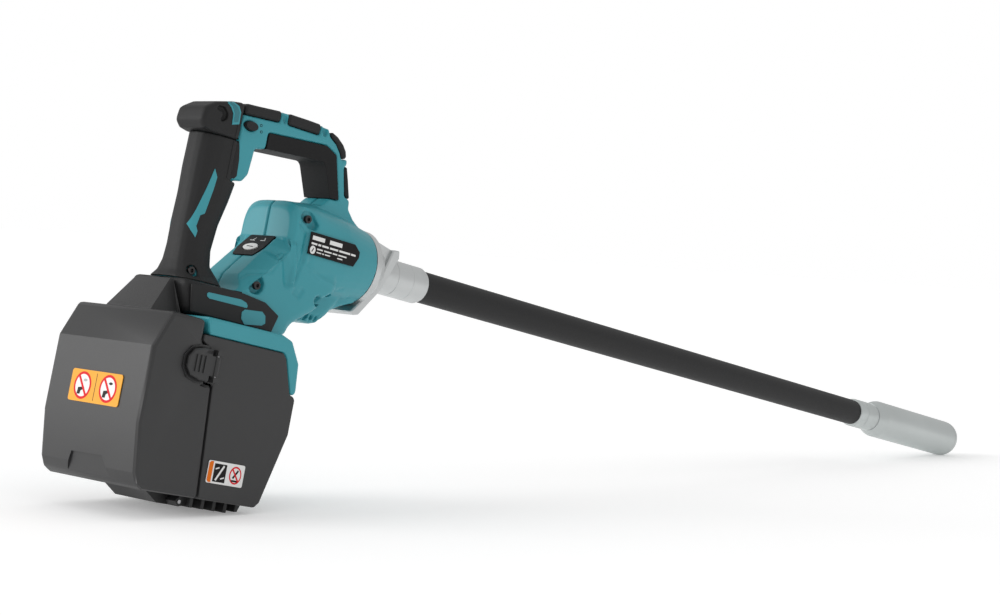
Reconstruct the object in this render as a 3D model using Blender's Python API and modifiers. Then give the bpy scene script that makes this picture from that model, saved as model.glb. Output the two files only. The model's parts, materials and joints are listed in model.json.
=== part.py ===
"""Cordless concrete vibrator: battery power unit, rubber-covered flexible shaft and vibrating head.

The tool is drawn in its own frame, in millimetres: X runs forward along the shaft from the
point where the rubber hose leaves its sleeve, Y to the left and Z up. The empty `rest_frame`
turns that frame into the pose in which the tool lies on the ground, on its foot and its head.
"""

import math

import bmesh
import bpy
from mathutils import Matrix, Vector

MM = 0.001
GAP = 0.3              # clearance kept between neighbouring pieces

# ---- driving dimensions, millimetres, tool frame ----
HOSE_R = 13.4
HOSE_BORE_R = 8.0
HOSE_END = 696.4
HEAD_R = 20.0
HEAD_BORE_R = 15.0
HEAD_START = 733.0
HEAD_CHAMFER = 11.0     # length of the cone that leads up to the head's full radius
HEAD_DOME = 897.0
HEAD_TIP = 912.0
SLEEVE_R = 15.4
NOSE_X = -80.0         # front face of the plastic motor housing
NOSE_R = 31.2

CASE_HALF = 57.5       # half width of the battery case
CASE_REAR = -305.5
CASE_FLOOR = -203.0
WALL = 3.0
HINGE_X = -239.5
HINGE_Z = -207.6
FOOT_FRONT = -187.0
FOOT_LAND = 12.0       # length of the flat land that meets the ground
FOOT_Z = -210.5

BASE_HALF = 33.0       # half width of the handle base under the overmould
HANDLE_HALF = 15.5     # half width of the handle loop
REST_SHIFT_X = -285.4  # puts the box centre of the resting tool over the origin

# The ground line touches the foot's front land and the underside of the head.
GROUND_SLOPE = (-HEAD_R - FOOT_Z) / (HEAD_DOME - (FOOT_FRONT - FOOT_LAND))
TILT = math.atan(GROUND_SLOPE)

for old in list(bpy.data.objects):
    bpy.data.objects.remove(old, do_unlink=True)


def collection(name):
    made = bpy.data.collections.new(name)
    bpy.context.scene.collection.children.link(made)
    return made


PARTS = collection("concrete_vibrator")
CUTTERS = collection("cutters")

rest_frame = bpy.data.objects.new("rest_frame", None)
PARTS.objects.link(rest_frame)
rest_frame.rotation_euler = (0.0, TILT, 0.0)
foot_corner = Vector((FOOT_FRONT - FOOT_LAND, 0.0, FOOT_Z))
ground = (Matrix.Rotation(TILT, 3, "Y") @ foot_corner).z
rest_frame.location = (REST_SHIFT_X * MM, 0.0, -ground * MM)


# ---- materials ----
def material(name, colour, roughness, metallic=0.0):
    made = bpy.data.materials.new(name)
    made.use_nodes = True
    shader = made.node_tree.nodes["Principled BSDF"]
    shader.inputs["Base Color"].default_value = (*colour, 1.0)
    shader.inputs["Roughness"].default_value = roughness
    shader.inputs["Metallic"].default_value = metallic
    return made


TEAL = material("housing_teal", (0.045, 0.220, 0.250), 0.45)
RUBBER = material("overmould_black", (0.032, 0.032, 0.033), 0.75)
CASE = material("case_grey", (0.055, 0.055, 0.057), 0.60)
HOSE = material("hose_rubber", (0.030, 0.030, 0.031), 0.70)
ALU = material("cast_aluminium", (0.400, 0.410, 0.405), 0.38, 1.0)
STEEL = material("head_steel", (0.380, 0.395, 0.390), 0.42, 1.0)
SHAFT = material("drive_steel", (0.350, 0.350, 0.360), 0.35, 1.0)
SCREW = material("screw_black_steel", (0.060, 0.058, 0.060), 0.45, 1.0)
COPPER = material("winding_copper", (0.480, 0.190, 0.080), 0.40, 1.0)
BOARD = material("board_green", (0.030, 0.120, 0.055), 0.55)
SWITCH = material("switch_plastic", (0.090, 0.088, 0.085), 0.55)
PACK = material("battery_black", (0.028, 0.028, 0.030), 0.55)
YELLOW = material("label_yellow", (0.900, 0.480, 0.060), 0.50)
WHITE = material("label_white", (0.800, 0.800, 0.790), 0.50)
GLOSS = material("plate_black", (0.012, 0.010, 0.010), 0.40)
KEY = material("mode_key_white", (0.780, 0.780, 0.770), 0.45)


# ---- modelling helpers; every length they take is in millimetres ----
def place(name, mesh, skin=None, pivot=(0.0, 0.0, 0.0)):
    """Link a mesh under the rest frame; its origin goes to the pivot, its faces stay put."""
    at = Vector(pivot) * MM
    mesh.transform(Matrix.Translation(-at))
    made = bpy.data.objects.new(name, mesh)
    (PARTS if skin else CUTTERS).objects.link(made)
    made.parent = rest_frame
    made.location = at
    if skin:
        mesh.materials.append(skin)
    else:
        made.hide_render = True
        made.display_type = "WIRE"
    return made


def from_bmesh(name, bm):
    bmesh.ops.recalc_face_normals(bm, faces=bm.faces)
    mesh = bpy.data.meshes.new(name)
    bm.to_mesh(mesh)
    bm.free()
    return mesh


def evaluated(obj):
    bpy.context.view_layer.update()
    graph = bpy.context.evaluated_depsgraph_get()
    return bpy.data.meshes.new_from_object(obj.evaluated_get(graph))


PLANES = {
    "Y": Matrix.Rotation(math.pi / 2, 4, "X"),                      # outline in XZ, along Y
    "X": Matrix(((0, 0, 1, 0), (1, 0, 0, 0), (0, 1, 0, 0), (0, 0, 0, 1))),  # outline in YZ
    "Z": Matrix.Identity(4),                                        # outline in XY
}


def outline(name, points, low, high, skin=None, along="Y", pivot=(0.0, 0.0, 0.0)):
    """A flat closed outline extruded from low to high along one axis."""
    curve = bpy.data.curves.new(name, "CURVE")
    curve.dimensions = "2D"
    curve.fill_mode = "BOTH"
    curve.extrude = (high - low) / 2 * MM
    spline = curve.splines.new("POLY")
    spline.points.add(len(points) - 1)
    for point, (u, v) in zip(spline.points, points):
        point.co = (u * MM, v * MM, 0.0, 1.0)
    spline.use_cyclic_u = True
    guide = bpy.data.objects.new(name + "_outline", curve)
    CUTTERS.objects.link(guide)
    mesh = evaluated(guide)
    bpy.data.objects.remove(guide)
    bm = bmesh.new()
    bm.from_mesh(mesh)
    bpy.data.meshes.remove(mesh)
    bmesh.ops.remove_doubles(bm, verts=bm.verts, dist=1e-6)
    bmesh.ops.dissolve_limit(bm, angle_limit=0.01, verts=bm.verts, edges=bm.edges)
    middle = {"X": (1, 0, 0), "Y": (0, 1, 0), "Z": (0, 0, 1)}[along]
    shift = Matrix.Translation(Vector(middle) * (low + high) / 2 * MM)
    bmesh.ops.transform(bm, matrix=shift @ PLANES[along], verts=bm.verts)
    return place(name, from_bmesh(name, bm), skin, pivot)


def box(name, low, high, skin=None, pivot=(0.0, 0.0, 0.0)):
    bm = bmesh.new()
    bmesh.ops.create_cube(bm, size=1.0)
    low, high = Vector(low) * MM, Vector(high) * MM
    size = Matrix.Diagonal((*(high - low), 1.0))
    bmesh.ops.transform(bm, matrix=Matrix.Translation((low + high) / 2) @ size, verts=bm.verts)
    return place(name, from_bmesh(name, bm), skin, pivot)


AXES = {
    "X": Matrix.Rotation(math.pi / 2, 4, "Y"),
    "Y": Matrix.Rotation(-math.pi / 2, 4, "X"),
    "Z": Matrix.Identity(4),
}


def rod(name, start, length, radius, axis, skin=None, sides=24, pivot=(0.0, 0.0, 0.0), end=None):
    """A cylinder (or a cone with its own end radius) that starts at a point and runs along +axis."""
    bm = bmesh.new()
    bmesh.ops.create_cone(
        bm, cap_ends=True, segments=sides, radius1=radius * MM,
        radius2=(radius if end is None else end) * MM, depth=length * MM)
    run = AXES[axis].to_3x3() @ Vector((0.0, 0.0, length / 2))
    shift = Matrix.Translation((Vector(start) + run) * MM)
    bmesh.ops.transform(bm, matrix=shift @ AXES[axis], verts=bm.verts)
    made = place(name, from_bmesh(name, bm), skin, pivot)
    return smooth(made)


def smooth(obj):
    obj.data.shade_smooth()
    obj.data.set_sharp_from_angle(angle=math.radians(35))
    return obj


def turned(name, profile, skin=None, steps=40, pivot=(0.0, 0.0, 0.0)):
    """A solid of revolution about the shaft axis; profile is a closed run of (x, radius)."""
    bm = bmesh.new()
    # The profile stands at +X of the lathe's Z axis, and its outer side runs top to bottom.
    ring = [bm.verts.new((radius * MM, 0.0, x * MM)) for x, radius in profile]
    closed = profile[0] != profile[-1] and min(radius for _, radius in profile) > 0.0
    for first, second in zip(ring, ring[1:] + (ring[:1] if closed else [])):
        bm.edges.new((first, second))
    mesh = bpy.data.meshes.new(name)
    bm.to_mesh(mesh)
    bm.free()
    guide = bpy.data.objects.new(name + "_lathe", mesh)
    CUTTERS.objects.link(guide)
    screw = guide.modifiers.new("Screw", "SCREW")
    screw.axis = "Z"
    screw.steps = screw.render_steps = steps
    screw.use_merge_vertices = True
    screw.merge_threshold = 0.00001
    spun = evaluated(guide)
    bpy.data.objects.remove(guide)
    bm = bmesh.new()
    bm.from_mesh(spun)
    bmesh.ops.remove_doubles(bm, verts=bm.verts, dist=1e-6)
    bmesh.ops.transform(bm, matrix=AXES["X"], verts=bm.verts)
    return smooth(place(name, from_bmesh(name, bm), skin, pivot))


def loft(name, sections, skin=None, pivot=(0.0, 0.0, 0.0)):
    """A skin through rings of equal point count, closed with a flat face at both ends."""
    bm = bmesh.new()
    rings = [[bm.verts.new(Vector(point) * MM) for point in ring] for ring in sections]
    count = len(rings[0])
    for lower, upper in zip(rings, rings[1:]):
        for i in range(count):
            j = (i + 1) % count
            bm.faces.new((lower[i], lower[j], upper[j], upper[i]))
    bm.faces.new(rings[0])
    bm.faces.new(rings[-1])
    return smooth(place(name, from_bmesh(name, bm), skin, pivot))


def oval(a, b, power, count):
    """Points of a superellipse with half axes a and b."""
    points = []
    for i in range(count):
        angle = 2 * math.pi * (i + 0.5) / count
        c, s = math.cos(angle), math.sin(angle)
        points.append((math.copysign(abs(c) ** (2 / power), c) * a,
                       math.copysign(abs(s) ** (2 / power), s) * b))
    return points


def bevel(obj, width, segments=2, angle=40.0):
    made = obj.modifiers.new("Bevel", "BEVEL")
    made.width = width * MM
    made.segments = segments
    made.limit_method = "ANGLE"
    made.angle_limit = math.radians(angle)
    return obj


def combine(obj, other, operation):
    made = obj.modifiers.new(operation.title(), "BOOLEAN")
    made.operation = operation
    made.object = other
    made.solver = "EXACT"
    return obj


def cut(obj, *cutters):
    for cutter in cutters:
        combine(obj, cutter, "DIFFERENCE")
    return obj


def join(obj, *others):
    for other in others:
        combine(obj, other, "UNION")
    return obj


# ---- main housing: two clamshell halves that part at Y = 0 ----
GRIP_SECTIONS = (   # height, centre X, half depth, half width of the rear grip
    (66.0, -238.5, 24.0, 15.5),
    (40.0, -240.5, 22.5, 15.5),
    (19.0, -242.5, 20.0, 15.0),
    (0.0, -245.5, 17.5, 15.0),
    (-20.0, -246.5, 16.0, 15.0),
    (-32.0, -246.0, 17.0, 16.5),
    (-40.0, -243.0, 21.5, 21.0),
    (-45.6, -243.5, 23.5, 28.0),
)
GRIP_SKIN = 3.0        # thickness of the rubber over the grip


def grip(name, inset, rise, drop, skin=None):
    """The rear grip's envelope drawn in by an inset, run on straight past its ends by rise and drop."""
    sections = list(GRIP_SECTIONS)
    if rise:
        sections.insert(0, (sections[0][0] + rise, *sections[0][1:]))
    if drop:
        sections.append((sections[-1][0] - drop, *sections[-1][1:]))
    rings = []
    for z, x, a, b in sections:
        rings.append([(x + u, v, z) for u, v in oval(a - inset, b - inset, 2.5, 20)])
    return loft(name, rings, skin)


def motor_envelope(name, inset, rear, front, skin=None):
    """The barrel around the motor: boxy at the back and round at the nose."""
    stations = (   # X, centre Z, half width, half height, roundness
        (-176.0, 0.0, 28.0, 28.5, 4.5),
        (-172.0, 1.0, 32.0, 33.0, 4.5),
        (-150.0, 1.2, 34.3, 35.6, 3.6),
        (-115.0, 0.8, 34.0, 34.6, 2.7),
        (-95.0, 0.2, 32.8, 33.0, 2.2),
        (NOSE_X, 0.0, NOSE_R, NOSE_R, 2.0),
    )
    rings = []
    for i, (x, z, a, b, power) in enumerate(stations):
        level = rear if i == 0 else front if i == len(stations) - 1 else x
        rings.append([(level, u, z + v) for u, v in oval(a - inset, b - inset, power, 36)])
    return loft(name, rings, skin)


HANDLE_LOOP = (        # trigger housing, top bar with its pad pockets, front leg and its foot
    (-231.0, 36.0), (-231.0, 87.0), (-193.7, 90.3), (-193.7, 99.2), (-186.3, 99.6), (-186.3, 90.6),
    (-151.7, 91.2), (-151.7, 99.8), (-143.3, 98.8), (-140.3, 93.0), (-133.0, 89.2), (-127.2, 83.2),
    (-124.6, 78.2), (-118.4, 80.4), (-117.2, 75.2), (-120.0, 73.2), (-114.0, 51.0), (-107.6, 49.2),
    (-107.0, 42.0), (-100.0, 35.0), (-91.0, 29.5), (-91.0, 18.0), (-160.0, 18.0), (-160.0, 35.5),
    (-136.0, 38.5), (-129.2, 45.6), (-120.1, 46.2), (-131.0, 80.7), (-142.7, 85.3), (-203.3, 79.8),
    (-203.3, 66.8), (-213.5, 64.5), (-214.5, 52.0), (-215.5, 43.5), (-220.0, 37.5),
)
BASE_SIDE = (          # handle base and the ramp that carries the mode panel
    (-270.0, -46.0), (-261.8, -71.6), (-163.0, -71.6), (-160.5, -62.0), (-152.0, -56.0),
    (-140.0, -48.0), (-120.0, -30.0), (-120.0, 0.0), (-175.5, 5.2), (-194.3, -14.8), (-209.4, -32.0),
    (-214.6, -46.0),
)
CHIN_SIDE = (          # fan duct under the motor
    (-148.0, -46.0), (-144.5, -55.0), (-128.0, -55.4), (-120.0, -52.8), (-113.0, -45.5), (-103.0, -33.0),
    (-103.0, -18.0), (-148.0, -18.0),
)

housing = motor_envelope("housing_envelope", 0.0, -176.0, NOSE_X)
base_block = bevel(outline("base_block", BASE_SIDE, -BASE_HALF, BASE_HALF), 5.0)
chin_block = bevel(outline("chin_block", CHIN_SIDE, -20.0, 20.0), 4.0)
loop_block = bevel(outline("loop_block", HANDLE_LOOP, -HANDLE_HALF, HANDLE_HALF), 3.0, 2, 60.0)
grip_core = grip("grip_core", GRIP_SKIN + GAP, 0.0, 6.0)
cap_tongue = box("cap_tongue", (-255.5, -7.5, 58.0), (-228.0, 7.5, 82.0))
join(housing, base_block, chin_block, loop_block, grip_core, cap_tongue)

motor_room = motor_envelope("motor_room", 3.2, -172.5, NOSE_X + 3.0)
base_room = outline(
    "base_room",
    ((-256.0, -49.4), (-252.0, -68.0), (-167.0, -68.0), (-160.0, -58.0), (-150.0, -24.0),
     (-172.0, -9.0), (-176.0, -5.5), (-193.0, -23.0), (-203.0, -36.0), (-210.5, -49.4)),
    -BASE_HALF + WALL, BASE_HALF - WALL)
grip_room = box("grip_room", (-253.0, -8.5, 2.0), (-233.5, 8.5, 64.0))
wire_room = box("wire_room", (-252.0, -6.0, -60.0), (-240.0, 6.0, 10.0))
trigger_room = box("trigger_room", (-236.0, -7.2, 37.6), (-205.0, 7.2, 65.2))
cut(housing, motor_room, base_room, grip_room, wire_room, trigger_room)

LOCK_X, LOCK_Z = -223.0, 80.0


def lock_oval(name, grow, low, high, skin=None, pivot=(0.0, 0.0, 0.0)):
    ring = [(LOCK_X + u, LOCK_Z + v) for u, v in oval(6.0 + grow, 3.4 + grow, 2.0, 20)]
    return outline(name, ring, low, high, skin, "Y", pivot)


cut(housing, lock_oval("lock_hole", GAP, -30.0, 30.0))

SCREW_SPOTS = (        # name, X, Z and the Y of the surface that each clamshell screw sits in
    ("motor", -163.4, 21.6, -32.5),
    ("ramp", -202.0, -38.5, -BASE_HALF),
    ("chin", -137.0, -38.0, -22.0),
    ("grip_foot", -253.0, -38.5, -16.5),
)
SCREW_R = 3.2


def screw_pocket(spot, x, z, y):
    return rod(f"{spot}_pocket", (x, y - 20.0, z), 22.5, SCREW_R + 1.0, "Y", None, 12)


for spot, x, z, y in SCREW_SPOTS:
    cut(housing, screw_pocket(spot, x, z, y))

# Mode panel seat: a shallow pocket square to the ramp.
RAMP_TOP, RAMP_FOOT = Vector((-175.5, 0.0, 5.2)), Vector((-194.3, 0.0, -14.8))
ramp_run = (RAMP_FOOT - RAMP_TOP).normalized()
ramp_out = Vector((ramp_run.z, 0.0, -ramp_run.x))
ramp_frame = Matrix((
    (ramp_run.x, 0.0, ramp_out.x, (RAMP_TOP.x + RAMP_FOOT.x) / 2 * MM),
    (0.0, -1.0, 0.0, 0.0),
    (ramp_run.z, 0.0, ramp_out.z, (RAMP_TOP.z + RAMP_FOOT.z) / 2 * MM),
    (0.0, 0.0, 0.0, 1.0)))


def on_ramp(name, points, low, high, skin=None):
    """An outline drawn on the ramp: u runs down it, v across it, and height leaves it squarely."""
    made = outline(name, points, low, high, skin, "Z")
    made.matrix_local = ramp_frame
    return made


PANEL = ((-12.6, -13.6), (-11.6, -14.8), (3.5, -15.2), (12.0, -12.4), (13.0, -11.2), (13.0, 11.2),
         (12.0, 12.4), (3.5, 15.2), (-11.6, 14.8), (-12.6, 13.6))
panel_seat = [(u * 1.03, v * 1.02) for u, v in PANEL]
cut(housing, on_ramp("panel_seat", panel_seat, -1.6, 12.0))

full_housing = evaluated(housing)
for side, low, high in (("left", 0.15, 80.0), ("right", -80.0, -0.15)):
    half = place(f"housing_{side}", full_housing.copy(), TEAL)
    half.data.materials.clear()
    half.data.materials.append(TEAL)
    keep = box(f"keep_{side}", (-400.0, low, -200.0), (100.0, high, 200.0))
    combine(half, keep, "INTERSECT")

for spot, x, z, y in SCREW_SPOTS:
    head = rod(f"screw_{spot}", (x, y - 1.2, z), 3.2, SCREW_R, "Y", SCREW, 16)
    socket = rod(f"{spot}_socket", (x, y - 4.0, z), 4.6, 1.6, "Y", None, 6)
    cut(head, socket)

# ---- rubber grips and pads ----
sleeve = grip("rear_grip_sleeve", 0.0, 0.0, 0.0, RUBBER)
sleeve_bore = grip("sleeve_bore", GRIP_SKIN, 6.0, 6.0)
trigger_gap = box("trigger_gap", (-231.3, -30.0, 35.7), (-200.0, 30.0, 80.0))
cut(sleeve, sleeve_bore, trigger_gap, bpy.data.objects["grip_foot_pocket"])

CAP_SIDE = ((-231.3, 66.3), (-231.3, 95.8), (-243.0, 94.0), (-258.0, 90.0), (-269.0, 83.0),
            (-270.5, 72.5), (-265.5, 67.5), (-259.0, 66.3))
cap = bevel(outline("grip_cap", CAP_SIDE, -16.5, 16.5, RUBBER), 3.0)
cap_slot = box("cap_slot", (-256.0, -8.0, 55.0), (-228.0, 8.0, 82.5))
cut(cap, cap_slot)

PADS = {
    "top_pad_rear": ((-229.5, 87.5), (-194.0, 90.6), (-194.0, 99.2), (-217.0, 97.0), (-229.5, 96.0)),
    "top_pad_front": ((-186.0, 90.9), (-152.0, 91.5), (-152.0, 99.9), (-165.0, 100.0),
                      (-180.0, 99.7), (-186.0, 99.6)),
    "corner_pad": ((-139.6, 93.2), (-132.7, 89.6), (-126.9, 83.5), (-124.4, 78.6), (-119.2, 80.6),
                   (-121.0, 86.0), (-125.0, 90.5), (-132.0, 95.0), (-139.6, 97.5)),
    "leg_pad": ((-119.6, 73.2), (-113.7, 51.3), (-107.9, 49.6), (-112.8, 64.0), (-116.9, 74.9)),
}
for name, points in PADS.items():
    bevel(outline(name, points, -HANDLE_HALF, HANDLE_HALF, RUBBER), 1.5, 1)

SOFT_GRIP = ((-203.0, 79.5), (-142.8, 84.9), (-131.3, 80.2), (-120.4, 46.5), (-129.6, 45.9),
             (-140.6, 70.0), (-143.5, 72.2), (-203.0, 67.0))
bevel(outline("soft_grip", SOFT_GRIP, -HANDLE_HALF, HANDLE_HALF, RUBBER), 2.5, 2, 60.0)

COVER_SIDE = ((-261.0, -70.0), (-181.0, -70.6), (-176.5, -57.0), (-192.0, -49.5), (-215.0, -47.0),
              (-243.0, -47.5), (-265.0, -49.5))
for side, sign in (("left", 1), ("right", -1)):
    inner, outer = sorted((sign * (BASE_HALF + GAP), sign * (BASE_HALF + 3.0)))
    bevel(outline(f"base_cover_{side}", COVER_SIDE, inner, outer, RUBBER), 0.8, 1)

# ---- controls ----
TRIGGER_SIDE = ((-226.0, 38.2), (-219.5, 38.2), (-214.0, 43.0), (-212.6, 52.0), (-211.6, 60.5),
                (-213.5, 64.6), (-226.0, 64.6))
bevel(outline("trigger", TRIGGER_SIDE, -6.8, 6.8, RUBBER, "Y", (-219.0, 0.0, 52.0)), 1.2, 2)
lock_oval("lock_off_button", 0.0, -18.5, 15.7, RUBBER, (LOCK_X, 0.0, LOCK_Z))

on_ramp("mode_panel", PANEL, -1.3, 0.5, GLOSS)
key_hole = on_ramp("key_hole", [(u + 3.0, v) for u, v in oval(4.3, 8.3, 2.0, 20)], -5.0, 5.0)
cut(bpy.data.objects["mode_panel"], key_hole)
on_ramp("mode_button", [(u + 3.0, v) for u, v in oval(4.0, 8.0, 2.0, 20)], -0.2, 1.2, KEY)

box("switch_unit", (-252.5, -8.0, 28.0), (-238.0, 8.0, 63.5), SWITCH)
box("controller_board", (-232.0, -27.0, -66.5), (-176.0, 27.0, -56.0), BOARD)

# ---- motor and drive line ----
turned("motor_stator", ((-105.0, 26.0), (-155.0, 26.0), (-155.0, 16.0), (-105.0, 16.0)), COPPER, 32)
turned("rear_bearing", ((-160.0, 11.0), (-168.0, 11.0), (-168.0, 4.3), (-160.0, 4.3)), SHAFT, 24)
turned("front_bearing", ((-84.0, 13.0), (-92.0, 13.0), (-92.0, 4.3), (-84.0, 4.3)), SHAFT, 24)
turned("rotor_shaft", (
    (-40.0, 0.0), (-40.0, 4.0), (-106.0, 4.0), (-106.0, 15.2), (-154.0, 15.2), (-154.0, 4.0),
    (-169.0, 4.0), (-169.0, 0.0)), SHAFT, 24)
turned("cooling_fan", ((-94.0, 22.0), (-96.0, 26.0), (-103.0, 26.0), (-103.0, 4.3), (-94.0, 4.3)), SWITCH, 28)
FLEX_R = 4.5
rod("flex_shaft_core", (-39.7, 0.0, 0.0), 801.4, FLEX_R, "X", SHAFT, 16)
weight = turned("eccentric_weight", (
    (886.0, 0.0), (886.0, 4.0), (872.0, 4.0), (872.0, 12.5), (784.0, 12.5), (784.0, 4.0),
    (762.0, 4.0), (762.0, 0.0)), SHAFT, 24)
cut(weight, box("weight_flat", (783.9, -20.0, 3.0), (872.1, 20.0, 20.0)))
turned("head_bearing_rear", ((778.0, 14.7), (768.0, 14.7), (768.0, 4.3), (778.0, 4.3)), SHAFT, 24)
turned("head_bearing_front", ((884.0, 14.7), (876.0, 14.7), (876.0, 4.3), (884.0, 4.3)), SHAFT, 24)

# ---- cast nose, bent guard plate and coupling sleeve ----
nose = turned("nose_casting", (
    (-38.3, 15.4), (-56.0, 15.4), (-62.0, 22.0), (-70.0, 27.6), (-72.5, 29.4), (-74.0, 31.0),
    (NOSE_X + GAP, 31.0), (NOSE_X + GAP, 24.0), (-70.0, 20.0), (-60.0, 6.0), (-38.3, 6.0)), ALU, 44)
GUARD_SIDE = ((-50.0, 21.0), (-43.0, 21.5), (-42.0, 15.5), (-50.0, -1.0), (-57.0, -15.0),
              (-76.0, -38.0), (-80.5, -39.2), (-86.0, -37.5), (-71.5, -22.0), (-57.0, 2.0))
guard = bevel(outline("guard_plate", GUARD_SIDE, -16.2, 16.2), 1.0, 1)
web = outline("guard_web", ((-72.0, 25.0), (-50.0, 20.5), (-56.0, 2.0), (-72.0, 2.0)), -13.0, 13.0)
shaft_bore = rod("shaft_bore", (-90.0, 0.0, 0.0), 60.0, 7.0, "X", None, 24)
join(nose, guard, web)
cut(nose, shaft_bore)

coupling = turned("coupling_sleeve", (
    (-1.0, 14.2), (-3.5, SLEEVE_R), (-38.0, SLEEVE_R), (-38.0, 6.0), (-14.0, 6.0), (-14.0, 13.7),
    (-1.0, 13.7)), ALU, 40)
for sign in (1, -1):
    low, high = sorted((sign * 14.4, sign * 20.0))
    cut(coupling, box(f"wrench_flat_{high > 0}", (-30.0, -20.0, low), (-16.0, 20.0, high)))

# ---- rubber hose and vibrating head ----
turned("rubber_hose", (
    (HOSE_END, HOSE_R), (-13.5, HOSE_R), (-13.5, HOSE_BORE_R), (HOSE_END, HOSE_BORE_R)), HOSE, 32)
turned("head_connector", (
    (HEAD_START - GAP, 15.1), (HOSE_END + 1.5, 15.1), (HOSE_END + GAP, 14.2), (HOSE_END + GAP, 6.0),
    (HEAD_START - GAP, 6.0)), STEEL, 36)
turned("head_tube", (
    (HEAD_DOME - GAP, HEAD_R), (HEAD_START + HEAD_CHAMFER, HEAD_R), (HEAD_START, 15.4), (HEAD_START, 6.0),
    (764.0, 6.0), (764.0, HEAD_BORE_R), (HEAD_DOME - GAP, HEAD_BORE_R)), STEEL, 40)
dome = [(HEAD_DOME + (HEAD_TIP - HEAD_DOME) * math.sin(t), HEAD_R * math.cos(t) ** 0.75)
        for t in (math.pi / 2 * i / 8 for i in range(8, -1, -1))]
dome[0] = (HEAD_TIP, 0.0)
turned("head_tip", dome + [(HEAD_DOME, 0.0)], STEEL, 40)

# ---- battery case: front shell, teal top trim, hinged rear lid ----
SEAM = ((-262.4, -90.3), (-254.6, -95.0), (-254.6, -119.4), (-246.2, -120.0))
SEAM_HALF_GAP = 0.3
TRIM_SIDE = ((-261.4, -72.0), (-187.0, -72.0), (-177.0, -75.0), (-166.5, -91.0), (-164.3, -112.0),
             (-166.0, -115.5), (-169.8, -114.5), (-179.5, -89.0), (-183.0, -85.0), (-257.0, -84.7))
trim = bevel(outline("case_trim", TRIM_SIDE, -CASE_HALF, CASE_HALF, TEAL), 2.5, 2, 30.0)

SHELL_SIDE = ((-262.1, -85.0), (-183.2, -85.3), (-179.8, -89.3), (-170.1, -114.8), (-166.0, -115.9),
              (-164.0, -118.0), (-164.0, -145.0), (-180.0, -199.0), (-184.0, CASE_FLOOR),
              (-239.0, CASE_FLOOR), *((x + SEAM_HALF_GAP, z + SEAM_HALF_GAP) for x, z in reversed(SEAM)))
SHELL_ROOM = ((-290.0, -88.4), (-185.2, -88.4), (-173.2, -116.0), (-167.2, -119.5),
              (-167.2, -144.5), (-182.6, -196.5), (-185.0, -199.6), (-290.0, -199.6))
shell = bevel(outline("battery_case", SHELL_SIDE, -CASE_HALF, CASE_HALF, CASE), 2.5, 2, 30.0)
shell_room = outline("shell_room", SHELL_ROOM, -CASE_HALF + WALL, CASE_HALF - WALL)

FOOT_SIDE = ((-233.5, -201.0), (-233.5, FOOT_Z), (FOOT_FRONT - FOOT_LAND, FOOT_Z),
             (FOOT_FRONT, FOOT_Z + FOOT_LAND * GROUND_SLOPE), (-184.0, -201.0))
foot = outline("foot_block", FOOT_SIDE, -42.0, 42.0)
for i in range(4):
    for sign in (1, -1):
        low, high = sorted((sign * 32.0, sign * 50.0))
        x = -230.5 + 11.0 * i
        cut(foot, box(f"foot_pocket_{i}_{high > 0}", (x, low, -220.0), (x + 8.0, high, CASE_FLOOR - 0.3)))
knuckle_ring = [(HINGE_X + u, HINGE_Z + v) for u, v in oval(3.6, 3.6, 2.0, 16)]
join(shell, foot)
for y in (-37.0, 25.0):
    arm = outline(f"case_knuckle_{y > 0}", (
        (HINGE_X, HINGE_Z - 3.6), (-232.0, -209.0), (-232.0, -201.0), (-237.0, -201.0), (HINGE_X - 3.6, HINGE_Z)),
        y, y + 12.0)
    join(shell, arm)
cut(shell, shell_room, rod("hinge_bore_case", (HINGE_X, -60.0, HINGE_Z), 120.0, 1.8, "Y", None, 16))

LID_SIDE = ((-262.7, -74.6), (-293.5, -74.0), (CASE_REAR, -101.0), (CASE_REAR, -157.0),
            (-300.0, -192.0), (-296.0, -200.0), (-290.0, CASE_FLOOR), (-239.6, CASE_FLOOR),
            *((x - SEAM_HALF_GAP, z - SEAM_HALF_GAP) for x, z in reversed(SEAM)))
LID_ROOM = ((-220.0, -77.6), (-291.5, -77.0), (CASE_REAR + WALL, -101.6), (CASE_REAR + WALL, -156.6),
            (-297.2, -191.0), (-294.0, -198.0), (-289.5, -199.8), (-220.0, -199.8))
lid_pivot = (HINGE_X, 0.0, HINGE_Z)
lid = bevel(outline("case_lid", LID_SIDE, -CASE_HALF, CASE_HALF, CASE, "Y", lid_pivot), 3.0, 2, 30.0)


def tapered(name, points, foot_half, top_half, foot_z, top_z, skin=None):
    """An outline extruded along Y whose width narrows from foot_z up to top_z."""
    made = outline(name, points, -foot_half, foot_half, skin)
    for vertex in made.data.vertices:
        rise = (vertex.co.z / MM - foot_z) / (top_z - foot_z)
        vertex.co.y *= 1 + (top_half / foot_half - 1) * min(max(rise, 0.0), 1.0)
    return made


hump = tapered("lid_hump", ((-262.7, -80.0), (-262.7, -71.8), (-270.4, -48.0), (-273.4, -48.0),
                            (-290.4, -73.6), (-290.4, -80.0)), 26.5, 20.0, -74.0, -48.0)
hump_room = tapered("hump_room", ((-240.0, -84.0), (-240.0, -72.5), (-266.5, -72.5), (-272.0, -55.0),
                                  (-286.0, -76.0), (-286.0, -84.0)),
                    23.5, 18.5, -74.0, -52.0)
lid_room = outline("lid_room", LID_ROOM, -CASE_HALF + WALL, CASE_HALF - WALL)
join(lid, hump)
cut(lid, lid_room, hump_room)
lid_arm = outline("lid_arm", ((-266.0, -201.0), (-250.0, HINGE_Z - 3.6), (HINGE_X, HINGE_Z - 3.6),
                              (HINGE_X + 3.0, HINGE_Z - 2.0), (HINGE_X + 3.6, HINGE_Z), (HINGE_X + 2.4, HINGE_Z + 2.7),
                              (HINGE_X - 0.2, HINGE_Z + 4.0), (HINGE_X - 1.0, -201.0)), -24.7, 24.7)
join(lid, lid_arm)
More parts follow.
